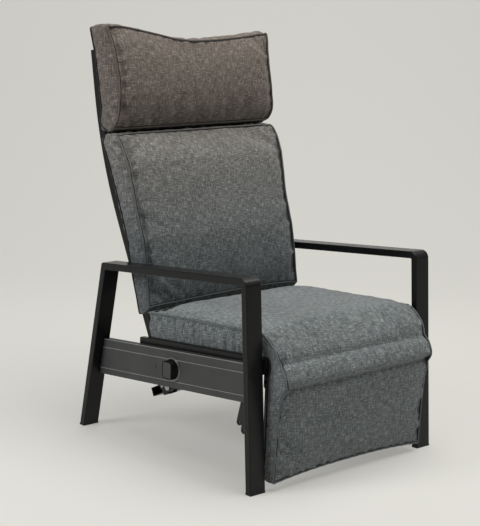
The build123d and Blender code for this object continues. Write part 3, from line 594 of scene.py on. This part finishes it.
# Seat and leg rest cushion, one cover that folds over the front of the seat. Each station gives the
# underside (y, z), the top seam (y, z) and the crown above it.
STATIONS = [
    ((452, 305.3), (466, 373), 7), ((430, 307.4), (441, 377), 12), ((380, 312.2), (388, 382), 16),
    ((250, 324.7), (254, 392), 16), ((120, 337.2), (122, 402), 15), ((40, 345), (40, 409), 11),
    ((-8, 350.2), (1, 412), 9), ((-26, 350), (-24, 395), 8), ((-31, 340), (-49, 373), 6),
    ((-31, 328), (-62, 345), 2), ((-27, 310), (-82, 318), 7), ((-24, 295), (-93, 292), 7),
    ((-23, 276), (-86, 274), 1), ((-23, 262), (-78, 257), 5), ((-23, 228), (-69, 228), 8),
    ((-23, 160), (-63, 160), 9), ((-23, 104), (-60, 104), 8), ((-23, 50), (-58, 50), 5),
    ((-25, 24), (-57, 22), 1),
]
UNDER, TOP = 0, 1
tops = np.array([station[TOP] for station in STATIONS], float)
span = np.concatenate(([0.0], np.cumsum(np.linalg.norm(np.diff(tops, axis=0), axis=1))))
SEAT_LENGTH = float(span[-1])
# Half width by distance along the top: the leg rest is a little narrower than the seat
SEAT_HALF = [(0, 283), (SEAT_LENGTH * 0.55, 283), (SEAT_LENGTH * 0.68, 279.5), (SEAT_LENGTH, 279.5)]
SIDE_DRAW = 4.0                  # how far the sides pull in between the corners
FOOT_SAG = 14.0                  # the leg rest's lower corners hang this much below its middle
SEAT_WIDE, SEAT_RIM = 566.0, 110.0    # the top panel swells over this rim


def station_line(values, run):
    """A value that each station gives, read along the cover's top."""
    return eased(list(zip(span, values)), run, 9.0)


def seat_place(side, run):
    """Chair place (y, z) of the cover's underside or top seam."""
    return (station_line([station[side][0] for station in STATIONS], run),
            station_line([station[side][1] for station in STATIONS], run))


def seat_panel(u, v, side):
    """The seat cover's upper or lower panel, along the stations from the rear of the seat."""
    run = v * SEAT_LENGTH
    y, z = seat_place(side, run)
    if side == TOP:
        under_y, under_z = seat_place(UNDER, run)
        thick = np.hypot(y - under_y, z - under_z)
        crown = station_line([station[2] for station in STATIONS], run)
        rise = crown * dome(u, v, SEAT_WIDE, SEAT_LENGTH, SEAT_RIM)
        y, z = y + (y - under_y) / thick * rise, z + (z - under_z) / thick * rise
    z = z + FOOT_SAG * (1 - np.abs(u) ** 2.5) * np.clip((v - 0.8) / 0.2, 0, 1) ** 2
    pull = SIDE_DRAW * np.abs(np.sin(math.pi * v)) * (np.abs(u) ** 3)
    return to_frame(u * along(SEAT_HALF, run) - np.sign(u) * pull, y, z)


seat = Cover("seat_cushion_cover", 72, 140, 8, lambda u, v: seat_panel(u, v, TOP),
             lambda u, v: seat_panel(u, v, UNDER), 2.5, (0.566, SEAT_LENGTH * MM), seat_cloth)

# Filling of each cover: pressure, the most that a point moves in metres, seed of its gathers
for cover, pressure, limit, seed in ((back, 3.0, 0.012, 1.0), (head, 3.0, 0.012, 5.0),
                                     (seat, 2.5, 0.009, 9.0)):
    resting = dome(cover.u, cover.v, 1.0, 1.0, rim=0.1) > 0.9
    cover.fill(pressure, limit, ease=0.05, resting=resting)
    pucker(cover, depth=0.0022, reach=0.012, pitch=0.031, seed=seed)
    if cover is not seat:
        cover.sink(deep=0.009, off=0.014, width=0.011, half=0.29)
    cover.crease_seams(sharp=0.75)

# Channels sewn across the leg rest, at (y, z): the fold under the seat's front and a seam below it
FOLD, CHANNEL = (-64, 342), (-88, 275)
UP_FRONT = (0.35, 0.94)          # direction up the front of the cover there, in y and z
NEAR = 0.05                      # a channel reaches only this far, so the underside stays as it is
co, no = seat.places(), seat.normals()
for place, deep, width in ((FOLD, 0.006, 0.010), (CHANNEL, 0.010, 0.008)):
    y, z = to_frame(0, *place)[1:]
    off_y, off_z = co[:seat.panel, 1] - y, co[:seat.panel, 2] - z
    away = off_y * UP_FRONT[0] + off_z * UP_FRONT[1]
    dip = np.where(np.hypot(off_y, off_z) < NEAR, np.exp(-(away / width) ** 2), 0) * deep
    co[:seat.panel] -= no[:seat.panel] * dip[:, None]
seat.move(co)

for cover in (back, head, seat):
    cover.smooth()

# The armrests hold the lower part of the back cushion in. It stays clear of them while it leans back,
# out to the farthest place of the side frames from the recline pivot, and may spread beyond that.
HELD_HALF, FRAME_REACH, SPREAD = 0.2872, 0.437, 0.7
pivot = to_frame(*PIVOT_PLACE)
co = back.places()
reach = np.hypot(co[:, 1] - pivot[1], co[:, 2] - pivot[2])
room = HELD_HALF + SPREAD * np.maximum(reach - FRAME_REACH, 0.0)
co[:, 0] = np.sign(co[:, 0]) * np.minimum(np.abs(co[:, 0]), room)
back.move(co)

# Pleats in the seat's side borders, where the cloth is gathered under the welt: place from the front
# corner, lean of the pleat, depth, in millimetres
PLEATS = ((386, 0.10, 3.0), (336, -0.06, 3.5), (301, 0.12, 4.0), (259, 0.05, 4.0), (238, -0.1, 3.0),
          (190, 0.08, 2.0), (131, -0.05, 4.0), (97, 0.1, 4.0), (82, 0.15, 3.0), (420, -0.1, 2.0))
BORDER_FOOT, BORDER_TALL = 349.0, 62.0
co, no = seat.places(), seat.normals()
y, z = co[:, 1] / MM + MIDDLE, co[:, 2] / MM
above = z - (BORDER_FOOT - y * SEAT_RISE)
up = np.clip(above / BORDER_TALL, 0, 1)
facing = np.clip((np.abs(no[:, 0]) - 0.4) / 0.3, 0, 1) * (y > 30)
side_share = facing * np.sin(math.pi * np.clip(up * 1.1, 0, 1)) ** 0.7
gather = np.zeros(len(co))
for place, lean, deep in PLEATS:
    off = y - place - lean * (above - BORDER_TALL / 2) + 3 * np.sign(co[:, 0])
    gather += deep * MM * (np.exp(-(off / 4.0) ** 2) - 0.35 * np.exp(-((off - 9) / 6.0) ** 2))
seat.move(co - no * (gather * side_share)[:, None])


# Seams, stitches, beads and rims, grown along lines of points
def geometry_tree(name, *inputs):
    """A Geometry Nodes tree with a geometry socket each way and the named inputs."""
    tree = bpy.data.node_groups.new(name, "GeometryNodeTree")
    tree.interface.new_socket("Geometry", in_out="INPUT", socket_type="NodeSocketGeometry")
    for label, kind, value in inputs:
        socket = tree.interface.new_socket(label, in_out="INPUT", socket_type=kind)
        if value is not None:
            socket.default_value = value
    tree.interface.new_socket("Geometry", in_out="OUTPUT", socket_type="NodeSocketGeometry")
    return tree, add(tree, "NodeGroupInput"), add(tree, "NodeGroupOutput")


def cord_tree():
    """Cord sewn into a seam: a round strand along the line of points."""
    tree, start, end = geometry_tree(
        "piped_seam", ("Cord radius", "NodeSocketFloat", 0.0017),
        ("Point spacing", "NodeSocketFloat", 0.004), ("Finish", "NodeSocketMaterial", None))
    line = add(tree, "GeometryNodeMeshToCurve", None, Mesh=(start, "Geometry"))
    even = add(tree, "GeometryNodeResampleCurve", {"mode": "LENGTH"}, Curve=(line, "Curve"),
               Length=(start, "Point spacing"))
    ring = add(tree, "GeometryNodeCurvePrimitiveCircle", None, Resolution=8, Radius=(start, "Cord radius"))
    strand = add(tree, "GeometryNodeCurveToMesh", None, Curve=(even, "Curve"), Profile_Curve=(ring, "Curve"))
    real = add(tree, "GeometryNodeRealizeInstances", None, Geometry=(strand, "Mesh"))
    done = add(tree, "GeometryNodeSetMaterial", None, Geometry=(real, "Geometry"),
               Material=(start, "Finish"))
    tree.links.new(done.outputs["Geometry"], end.inputs[0])
    return tree


def stitch_tree():
    """A row of stitches: short rods of thread laid along the line of points, none quite alike."""
    tree, start, end = geometry_tree(
        "stitch_row", ("Stitch length", "NodeSocketFloat", 0.0036),
        ("Stitch pitch", "NodeSocketFloat", 0.0058), ("Thread radius", "NodeSocketFloat", 0.0005),
        ("Seed", "NodeSocketInt", 3), ("Finish", "NodeSocketMaterial", None))
    line = add(tree, "GeometryNodeMeshToCurve", None, Mesh=(start, "Geometry"))
    even = add(tree, "GeometryNodeResampleCurve", {"mode": "LENGTH"}, Curve=(line, "Curve"),
               Length=(start, "Stitch pitch"))
    rod = add(tree, "GeometryNodeMeshCylinder", None, Vertices=6, Radius=(start, "Thread radius"),
              Depth=(start, "Stitch length"))
    way = add(tree, "GeometryNodeInputTangent")
    turn = add(tree, "FunctionNodeAlignRotationToVector", {"axis": "Z"}, Vector=(way, "Tangent"))
    vary = add(tree, "FunctionNodeRandomValue", {"data_type": "FLOAT"}, Seed=(start, "Seed"))
    share = add(tree, "ShaderNodeMapRange", None, Value=(vary, 1), To_Min=0.86, To_Max=1.08)
    laid = add(tree, "GeometryNodeInstanceOnPoints", None, Points=(even, "Curve"), Instance=(rod, "Mesh"),
               Rotation=(turn, "Rotation"), Scale=(share, "Result"))
    real = add(tree, "GeometryNodeRealizeInstances", None, Geometry=(laid, "Instances"))
    done = add(tree, "GeometryNodeSetMaterial", None, Geometry=(real, "Geometry"),
               Material=(start, "Finish"))
    tree.links.new(done.outputs["Geometry"], end.inputs[0])
    return tree


def grown(name, points, closed, tree, values):
    """Run a tree on a line of points and keep the result as a plain mesh piece."""
    line = bpy.data.meshes.new(name + "_line")
    edges = [(n, n + 1) for n in range(len(points) - 1)] + ([(len(points) - 1, 0)] if closed else [])
    line.from_pydata(np.asarray(points).tolist(), edges, [])
    piece = bpy.data.objects.new(name, line)
    bpy.context.collection.objects.link(piece)
    modifier = piece.modifiers.new("grow", "NODES")
    modifier.node_group = tree
    for item in tree.interface.items_tree:
        if item.in_out == "INPUT" and item.name in values:
            modifier[item.identifier] = values[item.name]
    done = bpy.data.meshes.new_from_object(
        piece.evaluated_get(bpy.context.evaluated_depsgraph_get()))
    piece.modifiers.remove(modifier)
    piece.data = done
    done.name = name
    done.polygons.foreach_set("use_smooth", [True] * len(done.polygons))
    bpy.data.meshes.remove(line)
    return piece


piped = cord_tree()
stitched = stitch_tree()
THREAD_RISE = 0.0004             # the thread lies this far above the cloth
ROW_HALF = 0.272                 # half the length of a row across the leg rest
# The long cover bends between the front of the seat and the top of the leg rest
KNEE = (tuple(to_frame(0, 20, 380)), tuple(to_frame(0, -70, 290)))


def bend_or_ride(piece, body):
    """Keep a piece that goes with the seat cover where it lies, its placement baked in, or ride on a body.
    """
    if body == "knee":
        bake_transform(piece)
    else:
        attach(piece, body)


def sew_seams(cover, body, slot):
    """Welt along the front seam, with a black cord beside it that is partly piping and partly a painted
    shadow of the dip in the front panel; piping along the rear one, and topstitching behind the welt.
    Each cord stands proud of its seam, or lies aside of it on the front panel."""
    co, no = cover.places(), cover.normals()
    front, behind, beside = cover.rings[0], cover.rings[-1], cover.rings[1]
    for ring, label, proud, aside, radius, finish in (
            (front, "front_welt", 0.0010, 0.0, 0.0023, FINISHES[slot]),
            # black cord beside the front welt: partly piping, partly a painted shadow of the dip in the
            # front panel
            (front, "front_piping_and_shadow", 0.0002, 0.0036, 0.0017, piping_and_shadow_cord),
            (behind, "rear_piping", 0.0012, 0.0, 0.0024, piping_and_shadow_cord)):
        line = co[ring] + no[ring] * proud + cover.inward * aside
        cord = grown(f"{cover.name}_{label}", line, True, piped, {"Cord radius": radius, "Finish": finish})
        bend_or_ride(cord, body)
    line = co[front] * 0.45 + co[beside] * 0.55 + no[beside] * THREAD_RISE
    sewn = grown(f"{cover.name}_topstitch", line, True, stitched, {"Seed": 3, "Finish": sewing_thread})
    bend_or_ride(sewn, body)


def stitch_across(cover, label, place, body):
    """A row of stitches across the leg rest, laid on the cover beside a chair place (y, z)."""
    co, no = cover.places(), cover.normals()
    y, z = to_frame(0, *place)[1:]
    line = []
    for x in np.linspace(-ROW_HALF, ROW_HALF, 90):
        nearest = np.argsort(np.linalg.norm(co - (x, y, z), axis=1))[:3]
        line.append((co[nearest] + no[nearest] * THREAD_RISE).mean(axis=0))
    sewn = grown(f"leg_rest_{label}_stitch", line, False, stitched, {"Seed": 7, "Finish": sewing_thread})
    bend_or_ride(sewn, body)


for cover, body, nodes, slot, fill in (
        (back, "backrest", ("back_cushion",), "back_fabric", 0.7),
        (head, "backrest", ("head_cushion",), "head_fabric", 0.65),
        (seat, "knee", ("seat_cushion", "legrest_cushion"), "seat_fabric", 0.75)):
    sew_seams(cover, body, slot)
    if cover is seat:
        stitch_across(cover, "fold", FOLD, body)
        stitch_across(cover, "channel", CHANNEL, body)
    bend_or_ride(cover.piece, body)
    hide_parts(*nodes)

FLAT = 0.0002                    # points within this of a face lie on it
RIM_SUNK = 0.0005                # the middle of a knob's rim lies this far under its cap
BEAD_SUNK = 0.0004               # the beads' middles lie this far inside the boards' faces
LEVEL_REACH = 0.9                # a board's corners this near a level, in millimetres, lie on it
# Each bead: millimetres from the board's upper edge down to its groove's lower lip, lift from there to
# the bead's middle, and half the gap left for the lock knob, both in metres
BEADS = (("edge", 0.0, -0.0008, 0.0), ("upper", 26.0, 0.001, 0.0165), ("lower", 87.0, 0.001, 0.0))


def grip_cap(side, sign):
    """Give the face of a lock knob's grip the boards' tone, and set a raised black rim round it: a painted
    shadow of the gap at the face's edge.
    """
    knob = frame["nodes"][f"lock_knob_{side}"].data
    knob.materials.append(cap_coat)
    crown = max(abs(p.co.x) for p in knob.vertices) - FLAT
    for face in knob.polygons:
        if abs(face.center.x) > crown:
            face.material_index = 1
    rim = np.array([p.co for p in knob.vertices if abs(p.co.x) > crown])
    middle = rim.mean(axis=0)
    rim = rim[np.argsort(np.arctan2(rim[:, 2] - middle[2], rim[:, 1] - middle[1]))]
    # the raised black rim is a painted shadow of the gap round the grip's face
    edge = grown(f"knob_grip_rim_{side}", rim - (sign * RIM_SUNK, 0, 0), True, piped,
                 {"Cord radius": 0.0014, "Point spacing": 0.003, "Finish": knob_plastic})
    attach(edge, f"lock_knob_{side}")


def panel_beads(side, sign):
    """The rolled upper edge of a board and a rib along each groove, from end to end of its face, in a pale
    coat that is a painted highlight. The upper rib stops at the ring round the lock knob."""
    corners = np.array([p.co for p in frame["nodes"][f"side_panel_{side}"].data.vertices])
    corners = corners[np.abs(corners[:, 0]) > PANEL_FACE - FLAT]
    for label, down, lift, gap in BEADS:
        level = PANEL_TOP - down - (corners[:, 1] / MM + MIDDLE) * ARM_RISE
        lip = corners[np.abs(corners[:, 2] / MM - level) < LEVEL_REACH]
        front, rear = [(sign * (PANEL_FACE - BEAD_SUNK), p[1], p[2] + lift)
                       for p in (lip[lip[:, 1].argmin()], lip[lip[:, 1].argmax()])]
        lines = {"": (front, rear)}
        if gap:
            before, after = [(front[0], y, front[2] - (y - front[1]) * ARM_RISE)
                             for y in (pivot[1] - gap, pivot[1] + gap)]
            lines = {"_front": (front, before), "_rear": (after, rear)}
        for stretch, line in lines.items():
            # each bead's pale coat is a painted highlight along the board's edge or a groove's lip
            bead = grown(f"panel_bead_{label}{stretch}_{side}", line, False, piped,
                         {"Cord radius": 0.0012, "Point spacing": 0.03, "Finish": bead_highlight_coat})
            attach(bead, "base")


for side, sign in SIDES:
    grip_cap(side, sign)
for side, sign in SIDES:
    panel_beads(side, sign)

# Floor, light and camera
VIEW_TURN = -42.0                # degrees from the front of the chair to the photographer


def studio_sheet(finish):
    """A pale sheet that runs under the chair, from near to far along the view, and rises behind it
    in a bend of the radius turn."""
    far, near, wide, high, turn = 3.2, -50.0, 50.0, 6.0, 1.2
    profile = [(near, 0.0)]
    for angle in np.linspace(0.0, math.pi / 2, 15):
        profile.append((far - turn + turn * math.sin(angle), turn - turn * math.cos(angle)))
    profile.append((far, high))
    swing = Matrix.Rotation(math.radians(VIEW_TURN), 3, "Z")
    points = [swing @ Vector((x, y, z)) for y, z in profile for x in (-wide, wide)]
    faces = [(2 * n, 2 * n + 1, 2 * n + 3, 2 * n + 2) for n in range(len(profile) - 1)]
    sheet = bpy.data.meshes.new("studio_floor")
    sheet.from_pydata(points, [], faces)
    sheet.materials.append(finish)
    sheet.polygons.foreach_set("use_smooth", [True] * len(sheet.polygons))
    floor = bpy.data.objects.new("studio_floor", sheet)
    bpy.context.collection.objects.link(floor)


# Matte acrylic sheet with a faint glow, as if lit from below: shadows on it stay pale, as in the photo
studio_sheet(material("pale_studio_floor", Roughness=0.9, Base_Color=srgb("#9f9e9a"),
                      Emission_Color=srgb("#d9d8d3"), Emission_Strength=0.42)[0])

world = bpy.data.worlds.new("studio_air")
bpy.context.scene.world = world
world.use_nodes = True
world.node_tree.nodes["Background"].inputs["Color"].default_value = srgb("#e6e6e4")
world.node_tree.nodes["Background"].inputs["Strength"].default_value = 0.14


def lamp(name, place, target, size, power, code):
    """Square soft box aimed at a point."""
    light = bpy.data.lights.new(name, "AREA")
    light.shape, light.size = "SQUARE", size
    light.energy = power
    light.color = srgb(code)[:3]
    made = bpy.data.objects.new(name, light)
    made.location = place
    made.rotation_euler = (Vector(target) - Vector(place)).to_track_quat("-Z", "Y").to_euler()
    bpy.context.collection.objects.link(made)


# A large box overhead, one at the left of the picture and a weak one at its right
lamp("overhead_box", (0.5, -0.7, 3.6), (0.0, 0.0, 0.4), 3.4, 158.0, "#fffefa")
lamp("left_box", (-3.6, 0.9, 2.3), (0.0, 0.1, 0.8), 1.5, 84.0, "#fdfdff")
lamp("right_box", (2.6, -3.2, 2.8), (0.0, 0.0, 0.9), 2.0, 9.0, "#fffaf2")

# The camera, solved from the edges of the chair's frame in the photo
view = bpy.data.cameras.new("photo_view")
view.lens = 101.81
view.shift_x, view.shift_y = 0.0006, 0.0040
view.clip_start, view.clip_end = 0.1, 60.0
camera = bpy.data.objects.new("photo_view", view)
camera.location = (-2.7969, -3.0198, 1.3536)
camera.rotation_euler = (math.radians(78.2378), math.radians(-1.8430), math.radians(-41.7594))
bpy.context.collection.objects.link(camera)
bpy.context.scene.camera = camera
bpy.context.scene.view_settings.view_transform = "Standard"
